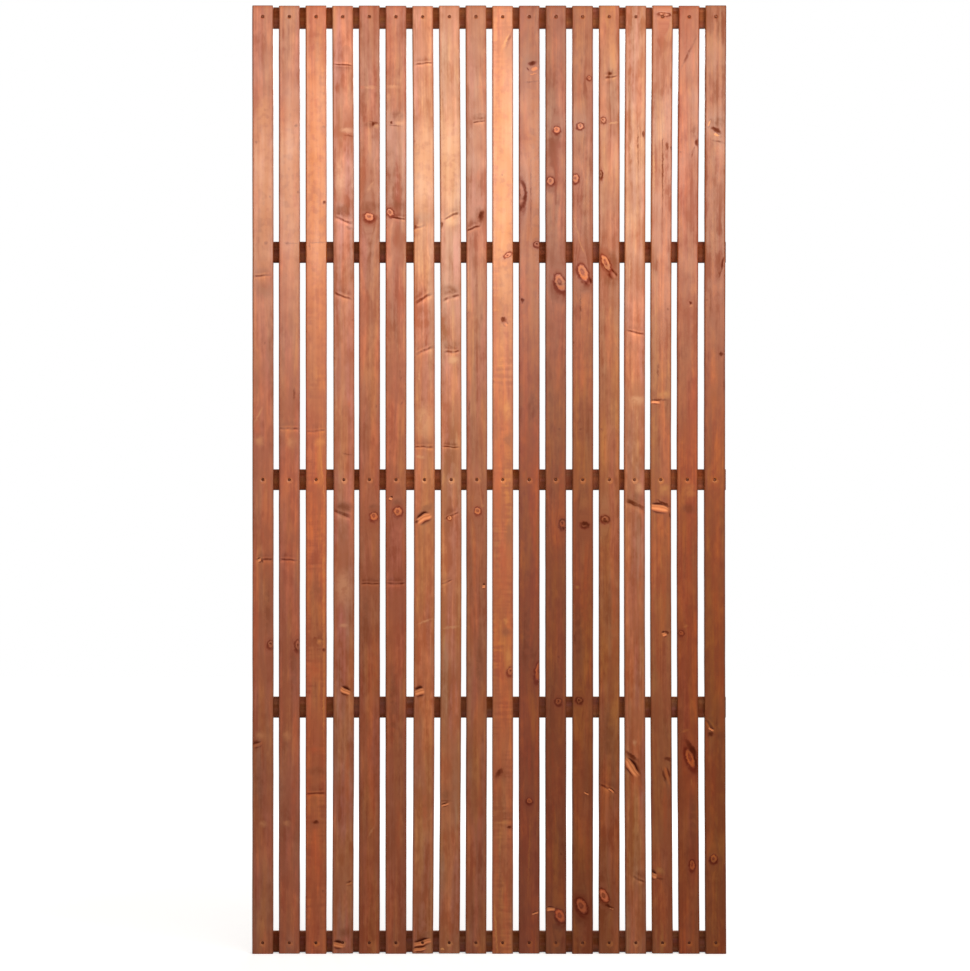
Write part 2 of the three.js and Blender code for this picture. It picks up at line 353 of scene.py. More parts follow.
def lean_distance(across, along, mark):
    """Distance from a mark's middle, 1 at the rim of its leaning ellipse."""
    turn = math.radians(mark.lean)
    right = across - mark.across
    up = along - mark.up
    level = right * math.cos(turn) - up * math.sin(turn)
    rise = right * math.sin(turn) + up * math.cos(turn)
    return np.hypot(level / mark.half_wide, rise / mark.half_high)


def board_surface(size, ease, nails, marks, bow, short, seed):
    """One board on a grid of rows along it and points round its section, in its own millimetres.

    Across is the section's width plus the bow and a slow wander of each edge. Depth is pressed in
    from the near face by the seats of the nails, where square rings of the grid are drawn in to
    circles, and by a shallow hollow along the rim of each knot. The ends are flat sawn faces: the
    last ring steps in by the rubbed arris and shrinks to a pole.
    Returns the rings, the two poles, and the values of all points: the fibres' coordinates, and
    whether they lie on an eased edge and on a sawn end.
    """
    wide, thick, length = size
    section_across, section_depth = board_section(wide, thick, ease)
    rows = board_rows(length, nails, marks)
    across, along = np.meshgrid(section_across, rows)
    depth = np.broadcast_to(section_depth, across.shape).copy()
    near = (section_depth < 1e-9) & (np.abs(section_across) <= wide / 2 - ease + 1e-9)

    edge = np.abs(across) / (wide / 2)
    side = np.where(across > 0, slow_wander(along, seed), slow_wander(along, seed + OTHER_EDGE))
    width_change = -np.abs(side) * np.sign(across) * edge
    for nail in nails:
        off = along - nail
        ring = np.maximum(np.abs(across), np.abs(off))
        radius = np.maximum(np.hypot(across, off), 1e-6)
        share = np.clip((SEAT_RINGS[-1] - ring) / (SEAT_RINGS[-1] - SEAT_RINGS[-3]), 0, 1)
        pull = np.where(near, 1 + share * (ring / radius - 1), 1)
        across = across * pull
        along = nail + off * pull
        depth = depth + near * np.interp(ring, SEAT_RINGS, SEAT_DEPTHS)

    middle = length / 2
    curve = bow * np.clip(1 - ((along - middle) / (middle - END_NAILS)) ** 2, 0, 1)
    placed = across + width_change + curve
    flow = across.copy()
    for mark in marks:
        if mark.kind in KNOTS:
            reach = FLOW_REACH * mark.half_wide
            away = placed - mark.across
            square = away**2 + (FLOW_STRETCH * (along - mark.up)) ** 2
            flow -= away * reach**2 / np.maximum(square, reach**2)
            if mark.half_wide > SMALL_KNOT:
                rim = np.exp(-(((lean_distance(placed, along, mark) - 1) / RIM_WIDTH) ** 2))
                depth = depth + near * KNOT_HOLLOW * rim
    depth = depth + near * CUP * edge**2
    cut = [short[1], SAWN_REACH, length - SAWN_REACH, length - short[0]]
    along = np.interp(along, [0, SAWN_REACH, length - SAWN_REACH, length], cut)

    on_corner = (np.abs(section_across) >= wide / 2 - ease) & (
        np.abs(section_depth - thick / 2) >= thick / 2 - ease
    )
    rings = np.stack([placed, depth, along, flow], axis=-1)

    def sawn_end(ring, level):
        """A flat end's middle, and its rings: stepped in by the arris, then shrunk to the middle."""
        flat = ring.copy()
        flat[:, 2] = level
        centre = np.array([ring[:, 0].mean(), thick / 2, level, 0])
        return centre, [centre + (flat - centre) * scale for scale in (1 - 2 * END_EASE / wide, *END_SCALES)]

    foot, foot_rings = sawn_end(rings[0], short[1])
    head, head_rings = sawn_end(rings[-1], length - short[0])
    steps = len(foot_rings)
    rings = np.concatenate([foot_rings[::-1], rings, head_rings])
    arris = np.zeros(rings.shape[:2])
    arris[steps:-steps] = on_corner
    sawn = np.ones(rings.shape[:2])
    sawn[steps:-steps] = 0
    points = np.concatenate([foot[None], rings.reshape(-1, 4), head[None]])
    values = {
        "grain": points[:, [3, 1, 2]] * MM,
        "arris": np.pad(arris.ravel(), 1),
        "sawn": np.pad(sawn.ravel(), 1, constant_values=1),
    }
    return rings[..., :3], np.stack([foot, head])[:, :3], values


def closed_tube(rings, poles):
    """Vertices, corners, face starts and corner places on the unit square of a closed tube.

    Each ring joins the next by four-sided faces, the last point of a ring joins its first, and the
    first and last ring close on a pole by three-sided faces. On the square, across is the way round
    the ring and up is the way along the tube.
    """
    count, around = rings.shape[:2]
    points = np.concatenate([poles[:1], rings.reshape(-1, 3), poles[1:]])
    here = np.arange(around)
    then = (here + 1) % around
    base = 1 + around * np.arange(count - 1)[:, None]
    sides = np.stack([base + here, base + then, base + then + around, base + here + around], axis=-1)
    last = 1 + around * (count - 1)
    foot = np.stack([0 * here, 1 + then, 1 + here], axis=-1)
    head = np.stack([last + here, last + then, 0 * here + last + around], axis=-1)
    corners = np.concatenate([foot.ravel(), sides.ravel(), head.ravel()])
    sizes = np.concatenate([np.full(around, 3), np.full((count - 1) * around, 4), np.full(around, 3)])
    starts = np.concatenate([[0], np.cumsum(sizes)[:-1]])

    closed = np.concatenate([rings, rings[:, :1]], axis=1)
    round_step = np.linalg.norm(np.diff(closed, axis=1), axis=2).mean(axis=0)
    round_way = np.concatenate([[0], np.cumsum(round_step)]) / round_step.sum()
    way = np.linalg.norm(np.diff(rings, axis=0), axis=2).mean(axis=1)
    ends = [np.linalg.norm(rings[end] - poles[end], axis=1).mean() for end in (0, -1)]
    up = np.concatenate([[0], np.cumsum(np.concatenate([[ends[0]], way, [ends[1]]]))])
    up /= up[-1]
    left, right = round_way[:-1], round_way[1:]
    middle = (left + right) / 2
    low = np.broadcast_to(up[1:-2, None], (count - 1, around))
    high = np.broadcast_to(up[2:-1, None], (count - 1, around))
    lefts = np.broadcast_to(left, low.shape)
    rights = np.broadcast_to(right, low.shape)
    foot_map = np.stack([middle, 0 * left, right, 0 * left + up[1], left, 0 * left + up[1]], axis=-1)
    side_map = np.stack([lefts, low, rights, low, rights, high, lefts, high], axis=-1)
    head_map = np.stack([left, 0 * left + up[-2], right, 0 * left + up[-2], middle, 0 * left + 1], axis=-1)
    square = np.concatenate([foot_map.ravel(), side_map.ravel(), head_map.ravel()])
    return points, corners, starts, square


def add_piece(name, tube, material, replaced, point_values):
    """Puts a closed tube into the scene as a piece on the root body that stands for its CAD nodes."""
    points, corners, starts, square = tube
    mesh = bpy.data.meshes.new(name)
    mesh.vertices.add(len(points))
    mesh.vertices.foreach_set("co", (points * MM).ravel())
    mesh.loops.add(len(corners))
    mesh.loops.foreach_set("vertex_index", corners)
    mesh.polygons.add(len(starts))
    mesh.polygons.foreach_set("loop_start", starts)
    mesh.polygons.foreach_set("use_smooth", np.ones(len(starts), bool))
    mesh.update(calc_edges=True)
    for value_name, values in point_values.items():
        vector = values.ndim == 2
        kind = "FLOAT_VECTOR" if vector else "FLOAT"
        held = mesh.attributes.new(value_name, kind, "POINT")
        held.data.foreach_set("vector" if vector else "value", np.ascontiguousarray(values, float).ravel())
    baked = mesh.uv_layers.new(name="OFBake")
    baked.uv.foreach_set("vector", square)
    mesh.materials.append(material)
    made = bpy.data.objects.new(name, mesh)
    bpy.context.scene.collection.objects.link(made)
    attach(made, "root")
    if replaced:
        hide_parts(*replaced)
    return made


def nail_rings():
    """One wire nail along its depth: a profile of radius and depth turned about the axis.

    The head is slightly domed with a rounded rim, its underside tapers to the shank, and the shank
    ends in a point. The punch left the head's top HEAD_SUNK below the face, where nail_row sets it.
    """
    radius = np.array([1.3, 2.3, 2.7, 2.8, 2.8, 1.2, 1.2, 0.7])
    depth = np.array([0.03, 0.06, 0.16, 0.3, 0.5, 1.4, 24.0, 26.4])
    turn = np.linspace(0, 2 * np.pi, NAIL_SIDES, endpoint=False)
    rings = np.stack([
        radius[:, None] * np.sin(turn), np.broadcast_to(depth[:, None], (len(depth), len(turn))),
        radius[:, None] * np.cos(turn),
    ], axis=-1)
    return rings, np.array([[0, 0, 0], [0, NAIL_LENGTH, 0]], float)


def nail_row(places, height, from_behind, seed):
    """A rail's nails as one piece: the same turned nail at each place, each turned and sunk a little
    differently. From behind, the nails are turned half round the upright axis."""
    rings, poles = nail_rings()
    points, corners, starts, square = closed_tube(rings, poles)
    random = np.random.default_rng(seed)
    count = len(places)
    turn = random.uniform(0, 2 * np.pi, count)[:, None]
    sunk = HEAD_SUNK + random.uniform(0, SUNK_DEEPER, count)[:, None]
    x = points[:, 0] * np.cos(turn) + points[:, 2] * np.sin(turn)
    z = -points[:, 0] * np.sin(turn) + points[:, 2] * np.cos(turn)
    y = CAD_BOX[0].y / MM + sunk + points[:, 1]
    if from_behind:
        x, y = -x, -y
    moved = np.stack([x + np.array(places)[:, None], y, z + height], axis=-1).reshape(-1, 3)
    shift = np.arange(count)[:, None]
    return (
        moved, (corners + shift * len(points)).ravel(), (starts + shift * len(corners)).ravel(),
        np.tile(square, count),
    )


# ---- Materials ----

def linear(code):
    """A hex sRGB colour as linear red, green, blue and 1."""
    parts = [(code >> shift & 255) / 255 for shift in (16, 8, 0)]
    return [p / 12.92 if p <= 0.04045 else ((p + 0.055) / 1.055) ** 2.4 for p in parts] + [1.0]


def tinted(code, red, green, blue):
    """A hex colour with each linear part scaled."""
    return [min(part * by, 1.0) for part, by in zip(linear(code), (red, green, blue, 1))]


def shares(shades, tone=0xFFFFFF):
    """A ramp's stops from shades given as shares of a tone's red, green and blue."""
    return [(position, [*np.multiply(linear(tone)[:3], share), 1.0]) for position, *share in shades]


def emptied(owner):
    """The node tree of a material or world, with no nodes left in it."""
    owner.use_nodes = True
    owner.node_tree.nodes.clear()
    return owner.node_tree


def add(tree, kind, inputs=None, stops=None, **settings):
    """Adds a node: its settings, the stops of its ramp, and each input's value or the link to it.

    A node given as an input's value is linked from the first of its outputs that is in use.
    """
    made = tree.nodes.new(kind)
    for name, value in settings.items():
        setattr(made, name, value)
    for socket, value in (inputs or {}).items():
        if isinstance(value, bpy.types.Node):
            value = next(output for output in value.outputs if output.enabled)
        if isinstance(value, bpy.types.NodeSocket):
            tree.links.new(value, made.inputs[socket])
        else:
            made.inputs[socket].default_value = value
    if stops:
        elements = made.color_ramp.elements
        while len(elements) < len(stops):
            elements.new(0.5)
        for element, (position, colour) in zip(elements, stops):
            element.position = position
            element.color = colour
    return made


# Shades from a mark's middle out to its rim, as shares of the wood's own red, green and blue. Knots are
# full of resin, with a dark red heart and a rim where the bark was.
KNOT_SHADES = (
    (0.0, 0.36, 0.18, 0.1), (0.26, 0.6, 0.36, 0.22), (0.46, 1.2, 1.12, 0.95), (0.66, 1.08, 0.92, 0.75),
    (0.84, 0.62, 0.4, 0.26), (1.0, 0.46, 0.26, 0.16),
)
RING_SHADES = (
    (0.0, 1.15, 0.8, 0.5), (0.18, 0.95, 0.6, 0.35), (0.3, 0.75, 0.42, 0.24), (0.42, 1.35, 1.2, 1.0),
    (0.6, 1.8, 2.0, 2.0), (0.78, 1.5, 1.4, 1.2), (0.9, 0.8, 0.46, 0.28), (1.0, 0.5, 0.2, 0.1),
)
EYE_SHADES = (
    (0.0, 1.5, 1.1, 1.0), (0.18, 1.2, 0.8, 0.7), (0.3, 0.9, 0.55, 0.45), (0.42, 1.8, 1.5, 2.0),
    (0.58, 2.3, 2.3, 4.0), (0.76, 1.9, 1.6, 2.4), (0.88, 1.1, 0.65, 0.6), (1.0, 0.5, 0.2, 0.12),
)
DARK_SHADES = ((0.0, 0.28, 0.13, 0.07), (0.6, 0.42, 0.24, 0.15), (1.0, 0.7, 0.5, 0.38))
CHIP_SHADES = ((0.0, 2.2, 3.0, 3.2), (0.6, 1.8, 2.2, 2.0), (1.0, 0.5, 0.24, 0.12))
PIN_SHADES = ((0.0, 0.36, 0.2, 0.13), (1.0, 0.66, 0.46, 0.36))

# Shades from below a mark to above it. A crease is painted light and shade: a painted highlight on its
# lower lip, a painted dark line, and painted shade above it. A split is a sliver of lifted fibres over a
# slit, with a painted highlight on the fibres and painted shade in the slit. Both are shares of the wood's
# own colour. A lens is a sliver of torn wood that took no stain, so its colours are its own, with painted
# shade in a slit above it.
CREASE_SHADES = (
    (0.0, 1, 1, 1), (0.3, 1.05, 1.05, 1.05), (0.38, 1.2, 1.25, 1.3), (0.43, 1.45, 1.65, 1.75),
    (0.47, 1.3, 1.3, 1.3), (0.5, 0.5, 0.34, 0.24), (0.55, 0.56, 0.4, 0.3), (0.59, 1.15, 1.2, 1.2),
    (0.62, 0.95, 0.92, 0.9), (0.68, 0.74, 0.64, 0.55), (0.85, 0.9, 0.86, 0.82), (1.0, 1, 1, 1),
)
SPLIT_SHADES = (
    (0.0, 1, 1, 1), (0.2, 0.6, 0.42, 0.32), (0.3, 1.1, 1.0, 0.85), (0.42, 1.4, 1.55, 1.5),
    (0.54, 1.2, 1.15, 1.0), (0.6, 0.6, 0.4, 0.28), (0.68, 0.36, 0.2, 0.12), (0.82, 0.65, 0.48, 0.38),
    (1.0, 1, 1, 1),
)
LENS_STOPS = [
    (0.0, linear(0x7A3A1E)), (0.2, linear(0x5A2010)), (0.28, linear(0xC06234)), (0.38, linear(0xF0965E)),
    (0.47, linear(0xD87A44)), (0.52, linear(0xB86436)), (0.58, linear(0xDE8650)), (0.67, linear(0x96481E)),
    (0.72, linear(0x34100A)), (0.8, linear(0x501C0C)), (1.0, linear(0x7A3A1E)),
]

# The marks whose shade runs from below to above: how far it runs each way in half heights, how it
# blends, and its shades.
Slanted = namedtuple("Slanted", "reach blend stops")
SLANTED = {
    # A crease's and a split's shades are painted light and shade; a lens's dark slit is painted shade.
    "crease": Slanted(7.5, "MULTIPLY", shares(CREASE_SHADES)),
    "split": Slanted(2.3, "MULTIPLY", shares(SPLIT_SHADES)),
    "lens": Slanted(2.3, "MIX", LENS_STOPS),
}

# The wood's noise patterns: what each lies over, its squeeze across, through and along the board, its
# scale per metre, its detail and its roughness.
PATTERNS = {
    # Soft streaks 5 to 8 mm wide and a hand or more long.
    "streaks": ("wavered", (1, 1, 0.022), 125, 3, 0.5),
    # Pine fibres are under 0.1 mm wide, too fine to show, so they are drawn 3 mm wide.
    "fibres": ("wavered", (1, 1, 0.03), 340, 2, 0.6),
    # The wood drinks unevenly, in flecks 8 mm wide and 20 mm long.
    "flecks": ("wavered", (1, 1, 0.4), 120, 3, 0.6),
    # Its own hue drifts in bands 20 mm wide.
    "hues": ("wavered", (1, 1, 0.1), 52, 2, 0.5),
    # The stain sits deeper in blotches 30 to 80 mm long.
    "blotches": ("grain", (1, 1, 0.4), 26, 3, 0.6),
    # The lustre drifts too, in clouds 30 to 80 mm long.
    "lustre": ("grain", (1.3, 1, 0.8), 20, 3, 0.5),
    # The planer's blades left uneven bars across some boards, 6 or 7 mm apart, in patches.
    "bars": ("grain", (0.12, 0.12, 1), 150, 1, 0.4),
    "patches": ("grain", (1.6, 1, 0.7), 20, 3, 0.5),
}
CHATTER = ("bars", "patches")  # the patterns that only a board with chatter has
# The lustre's share of the thinning lightens the colour in its clouds as painted sheen.
THINNING = {"streaks": 2.1, "fibres": 1.1, "flecks": 2.1, "lustre": 2.4}  # how much each thins the stain
HUE_DRIFTS = (
    ("Red", (1.12, 1.1, 0.82, 1), (0.88, 0.9, 1.16, 1)),  # between orange and rosy
    ("Green", (1.07, 0.92, 1.0, 1), (0.94, 1.06, 0.98, 1)),  # between red and olive
)
LUMINANCE = (0.2126, 0.7152, 0.0722)  # what red, green and blue each give to a colour's brightness

# How marks that spread from their middle lie on the wood: the kind; the distance out to which it shows
# in full and the one where it is gone, 1 at the rim; and how much of it shows at most. Soft ones end with
# one shade, as shares of the tone, and lie deepest. A knot's socket is the deeper stain round it and its
# dark rim, thicker below.
SOFT_MARKS = (
    # shade: darker wood, and painted shade above knots and creases
    ("shade", 0.3, 1.4, 0.7, (0.56, 0.48, 0.38)),
    ("glow", 0.2, 1.4, 0.5, (1.2, 0.88, 0.6)),
    # sheen: a painted highlight where fibres dip
    ("sheen", 0.1, 1.4, 0.7, (1.5, 2.3, 3.2)),
    # pale: partly paler wood and partly painted sheen
    ("pale", 0.2, 1.3, 0.75, (1.42, 1.95, 2.35)),
    ("bruise", 0.8, 1.4, 0.8, (1.6, 1.9, 2.0)),
    ("streak", 0.3, 1.5, 0.7, (0.44, 0.26, 0.17)),
    ("socket", 0.9, 2.3, 0.6, (0.74, 0.48, 0.34)),
    ("socket", 0.85, 1.35, 0.85, (0.5, 0.2, 0.1)),
)
# Hard ones end with their shades from the middle to the rim, and lie on top.
HARD_MARKS = (
    ("knot", 0.9, 1.3, 0.95, KNOT_SHADES),
    ("ring", 0.9, 1.25, 0.95, RING_SHADES),
    ("eye", 0.95, 1.2, 1.0, EYE_SHADES),
    ("dark", 0.5, 1.5, 0.9, DARK_SHADES),
    ("chip", 0.7, 1.2, 0.95, CHIP_SHADES),
    ("pin", 0.3, 1.5, 0.6, PIN_SHADES),
)
SOCKETED = ("knot", "ring", "eye")  # the marks that have a socket
OFF_MIDDLE = (-0.16, 0, 0.16)  # draws a mark's rings in above it to the left, and out below to the right


def mark_coats(tree, tone, marks, origin, grain, flecks):
    """The coats of colour that a board's marks lay on its wood, each with its share and how it blends."""
    place = add(tree, "ShaderNodeTexCoord").outputs["Object"]

    # Marks have ragged rims, and long ones bend: their places waver by about 1 mm and 2 mm.
    wavering = []
    for scale, detail, reach in ((190, 2, 0.006), (42, 1, 0.009)):
        waver = add(tree, "ShaderNodeTexNoise", {"Vector": place, "Scale": scale, "Detail": detail})
        waver = add(tree, "ShaderNodeVectorMath", {
            0: waver.outputs["Color"], 1: [reach] * 3, 2: [-reach / 2] * 3,
        }, operation="MULTIPLY_ADD")
        wavering.append(add(tree, "ShaderNodeVectorMath", {0: place, 1: waver}, operation="ADD"))
    ragged, bent = wavering

    # Soft and slanted marks break up in patches about 12 mm long.
    broken = add(tree, "ShaderNodeTexNoise", {"Vector": place, "Scale": 80, "Detail": 2})
    broken = add(tree, "ShaderNodeMapRange", {
        "Value": broken, "From Min": 0.34, "From Max": 0.56, "To Min": 0.45,
    }, interpolation_type="SMOOTHSTEP")

    nearest = {}
    slanted = []

    def spot_of(mark, grown=1, shifted=0):
        """Coordinates that are 0 at a mark's middle and 1 at its rim, or where a slanted one's shades end.
        The mark may be grown, and shifted down and to the left by a share of its half sizes."""
        height = SLANTED[mark.kind].reach if mark.kind in SLANTED else 1
        return add(tree, "ShaderNodeMapping", {
            "Vector": bent if mark.kind in SLANTED else ragged,
            "Location": (
                origin[0] + (mark.across - shifted * mark.half_wide) * MM, 0,
                origin[1] + (mark.up - shifted * mark.half_high) * MM,
            ),
            "Rotation": (0, math.radians(mark.lean), 0),
            "Scale": (grown * mark.half_wide * MM, 1000, grown * height * mark.half_high * MM),
        }, vector_type="TEXTURE")

    def keep_nearest(kind, spot):
        """Of one kind, the nearest mark counts, by the distance from its middle, 1 at its rim."""
        reach = add(tree, "ShaderNodeVectorMath", {0: spot}, operation="LENGTH")
        off = add(tree, "ShaderNodeVectorMath", {0: spot, 1: OFF_MIDDLE}, operation="DOT_PRODUCT")
        reach = add(tree, "ShaderNodeMath", {0: reach, 1: off}, operation="ADD")
        if kind in nearest:
            reach = add(tree, "ShaderNodeMath", {0: nearest[kind], 1: reach}, operation="MINIMUM")
        nearest[kind] = reach

    for mark in marks:
        if mark.kind in SLANTED:
            slanted.append((mark.kind, spot_of(mark)))
            continue
        keep_nearest(mark.kind, spot_of(mark))
        if mark.kind in SOCKETED:
            keep_nearest("socket", spot_of(mark, 1.2, 0.15))

    # Each layer has its distance from the middle, the two distances and the share of the tables above,
    # what holds it back, its shade and how it blends.
    layers = [
        (nearest[kind], full, gone, most, [broken], tinted(tone, *shade), "MIX")
        for kind, full, gone, most, shade in SOFT_MARKS if kind in nearest
    ]

    # Torn and creased wood is on a board's near face only.
    depth = add(tree, "ShaderNodeSeparateXYZ", {0: grain}).outputs["Y"]
    near_face = add(tree, "ShaderNodeMapRange", {
        "Value": depth, "From Min": 4 * MM, "From Max": 9 * MM, "To Min": 1, "To Max": 0,
    })
    for kind, spot in slanted:
        height = add(tree, "ShaderNodeSeparateXYZ", {0: spot}).outputs["Z"]
        height = add(tree, "ShaderNodeMapRange", {"Value": height, "From Min": -1})
        shade = add(tree, "ShaderNodeValToRGB", {"Fac": height}, SLANTED[kind].stops)
        reach = add(tree, "ShaderNodeVectorMath", {0: spot}, operation="LENGTH")
        holds = [near_face] if kind == "lens" else [near_face, broken]
        layers.append((reach, 0.6, 1.1, 1, holds, shade, SLANTED[kind].blend))

    # The flecks of the wood show through the hard marks too.
    fleck_light = add(tree, "ShaderNodeMapRange", {
        "Value": flecks, "From Min": 0.3, "From Max": 0.7, "To Min": 0.66, "To Max": 1.34,
    })
    for kind, full, gone, most, shades in HARD_MARKS:
        if kind in nearest:
            shade = add(tree, "ShaderNodeValToRGB", {"Fac": nearest[kind]}, shares(shades, tone))
            shade = add(tree, "ShaderNodeMix", {
                "Factor": 1.0, "A": shade, "B": fleck_light,
            }, data_type="RGBA", blend_type="MULTIPLY")
            layers.append((nearest[kind], full, gone, most, [], shade, "MIX"))

    coats = []
    for distance, full, gone, most, holds, shade, blend in layers:
        share = add(tree, "ShaderNodeMapRange", {
            "Value": distance, "From Min": full, "From Max": gone, "To Min": most, "To Max": 0,
        }, interpolation_type="SMOOTHSTEP")
        for hold in holds:
            share = add(tree, "ShaderNodeMath", {0: share, 1: hold}, operation="MULTIPLY")
        coats.append((share, shade, blend))
    return coats


def stained_pine(name, look, marks, origin, seed):
    """Planed pine, brush-stained red brown: a thin stain that lets the grain through.

    The eye sees long soft streaks from rosy to tan, faint growth rings, blotches where the stain took
    more, knots with the fibres flowing round them and wrinkled beside them, and a satin sheen. The
    wrinkles' light and shade, the shade above knots and the brighter patches of sheen are painted.
    """
    material = bpy.data.materials.new(name)
    tree = emptied(material)
    tone = look.tone
    grain = add(tree, "ShaderNodeAttribute", attribute_name="grain").outputs["Vector"]
    shift = [0.37 * seed, 0.21 * seed, 0.53 * seed]

    # The rings and fibres waver by 1 or 2 mm over a hand or two of their length.
    waver = add(tree, "ShaderNodeMapping", {"Vector": grain, "Location": shift, "Scale": (9, 9, 2.2)})
    waver = add(tree, "ShaderNodeTexNoise", {"Vector": waver, "Scale": 1.6, "Detail": 2}).outputs["Color"]
    waver = add(tree, "ShaderNodeVectorMath", {
        0: waver, 1: (0.009, 0.009, 0.0), 2: (-0.0045, -0.0045, 0.0),
    }, operation="MULTIPLY_ADD")
    wavered = add(tree, "ShaderNodeVectorMath", {0: grain, 1: waver}, operation="ADD")

    places = {"grain": grain, "wavered": wavered}
    noises = {}
    for pattern, (over, squeeze, scale, detail, roughness) in PATTERNS.items():
        if pattern in CHATTER and not look.chatter:
            continue
        spread = add(tree, "ShaderNodeMapping", {
            "Vector": places[over], "Location": shift, "Scale": squeeze,
        })
        noises[pattern] = add(tree, "ShaderNodeTexNoise", {
            "Vector": spread, "Scale": scale, "Detail": detail, "Roughness": roughness,
        })

    # Growth rings round the tree's heart; the late wood at each ring's end is dark.
    heart = add(tree, "ShaderNodeMapping", {
        "Vector": wavered,
        "Location": (look.heart_across * MM, look.heart_behind * MM, 0),
        "Rotation": (math.radians(look.lean_behind), math.radians(look.lean_across), 0),
    }, vector_type="TEXTURE")
    rings = add(tree, "ShaderNodeTexWave", {
        "Vector": heart, "Scale": 2 * math.pi / (20 * look.rings * MM),
        "Distortion": 0.8, "Detail": 1.0, "Detail Scale": 0.4,
    }, wave_type="RINGS", rings_direction="Z", wave_profile="SAW").outputs["Fac"]
    late = add(tree, "ShaderNodeMapRange", {
        "Value": rings, "From Min": 0.3, "From Max": 1.0, "To Max": 0.3,
    }, interpolation_type="SMOOTHSTEP")

    # How thin the stain lies: each of these adds its share about the middle. The lustre's share is painted
    # sheen.
    thinness = 0.5 - sum(THINNING.values()) / 2
    for pattern, share in THINNING.items():
        thinness = add(tree, "ShaderNodeMath", {
            0: noises[pattern], 1: share, 2: thinness,
        }, operation="MULTIPLY_ADD")
    relief = add(tree, "ShaderNodeMath", {0: noises["fibres"], 1: late}, operation="ADD")
    if look.chatter:
        patches = add(tree, "ShaderNodeMapRange", {
            "Value": noises["patches"], "From Min": 0.42, "From Max": 0.64, "To Max": look.chatter,
        }, interpolation_type="SMOOTHSTEP")
        bars = add(tree, "ShaderNodeMath", {0: noises["bars"], 1: 0.5}, operation="SUBTRACT")
        bars = add(tree, "ShaderNodeMath", {0: bars, 1: patches}, operation="MULTIPLY")
        thinness = add(tree, "ShaderNodeMath", {0: bars, 1: 4.0, 2: thinness}, operation="MULTIPLY_ADD")
        relief = add(tree, "ShaderNodeMath", {0: relief, 1: bars}, operation="ADD")
    thinness = add(tree, "ShaderNodeMapRange", {"Value": thinness})

    # Coats of colour, from the bare stain outwards. Each has its share, its shade and how it blends.
    coats = [(thinness, tinted(tone, 1.24, 1.44, 1.9), "MIX")]
    hues = add(tree, "ShaderNodeSeparateColor", {"Color": noises["hues"].outputs["Color"]})
    for channel, one, other in HUE_DRIFTS:
        share = add(tree, "ShaderNodeMapRange", {
            "Value": hues.outputs[channel], "From Min": 0.36, "From Max": 0.64,
        }, interpolation_type="SMOOTHSTEP")
        tint = add(tree, "ShaderNodeMix", {"Factor": share, "A": one, "B": other}, data_type="RGBA")
        coats.append((1.0, tint, "MULTIPLY"))
    blotches = add(tree, "ShaderNodeMapRange", {
        "Value": noises["blotches"], "From Min": 0.42, "From Max": 0.7, "To Max": 0.7,
    }, interpolation_type="SMOOTHSTEP")
    coats.append((late, tinted(tone, 0.7, 0.55, 0.42), "MIX"))
    coats.append((blotches, tinted(tone, 0.84, 0.74, 0.66), "MIX"))
    coats += mark_coats(tree, tone, marks, origin, grain, noises["flecks"])

    # The eased edges are painted darker, as painted shade on their rounding, and the sawn ends drink the
    # stain and go dark.
    arris = add(tree, "ShaderNodeAttribute", attribute_name="arris").outputs["Fac"]
    arris = add(tree, "ShaderNodeMath", {0: arris, 1: noises["streaks"]}, operation="MULTIPLY")
    coats.append((arris, tinted(tone, 0.62, 0.54, 0.5), "MIX"))
    sawn = add(tree, "ShaderNodeAttribute", attribute_name="sawn").outputs["Fac"]
    sawn_share = add(tree, "ShaderNodeMath", {0: sawn, 1: 0.8}, operation="MULTIPLY")
    end_wood = add(tree, "ShaderNodeMix", {
        "Factor": late, "A": tinted(tone, 0.5, 0.42, 0.36), "B": tinted(tone, 0.1, 0.06, 0.04),
    }, data_type="RGBA")
    coats.append((sawn_share, end_wood, "MIX"))

    colour = tinted(tone, 0.8, 0.62, 0.4)
    for share, shade, blend in coats:
        colour = add(tree, "ShaderNodeMix", {
            "Factor": share, "A": colour, "B": shade,
        }, data_type="RGBA", blend_type=blend)

    # Satin on the face, duller where the stain went deep and where the lustre is low, rough on the ends.
    bright = add(tree, "ShaderNodeRGBToBW", {"Color": colour})
    plain = sum(part * by for part, by in zip(linear(tone), LUMINANCE))
    matt = add(tree, "ShaderNodeMapRange", {
        "Value": bright, "From Min": 0.2 * plain, "From Max": 0.85 * plain, "To Min": 0.36, "To Max": 0,
    })
    rough = add(tree, "ShaderNodeMapRange", {
        "Value": noises["streaks"], "From Min": 0.3, "From Max": 0.7,
        "To Min": look.rough + 0.05, "To Max": look.rough - 0.05,
    })
    dull = add(tree, "ShaderNodeMath", {0: noises["lustre"], 1: -0.3, 2: 0.15}, operation="MULTIPLY_ADD")
    for more in (dull, matt):
        rough = add(tree, "ShaderNodeMath", {0: rough, 1: more}, operation="ADD")
    rough = add(tree, "ShaderNodeMath", {0: sawn, 1: 0.35, 2: rough}, operation="MULTIPLY_ADD")
    gloss = add(tree, "ShaderNodeMapRange", {
        "Value": bright, "From Min": 0.15 * plain, "From Max": 0.7 * plain,
        "To Min": 0.1 * look.gloss, "To Max": look.gloss,
    })
    bump = add(tree, "ShaderNodeBump", {"Height": relief, "Strength": 0.3, "Distance": 0.25 * MM})
    wood = add(tree, "ShaderNodeBsdfPrincipled", {
        "Base Color": colour, "Roughness": rough, "Normal": bump,
        "Specular IOR Level": gloss, "Specular Tint": (1, 0.99, 0.9, 1), "IOR": 1.5,
    })
    add(tree, "ShaderNodeOutputMaterial", {"Surface": wood})
    return material


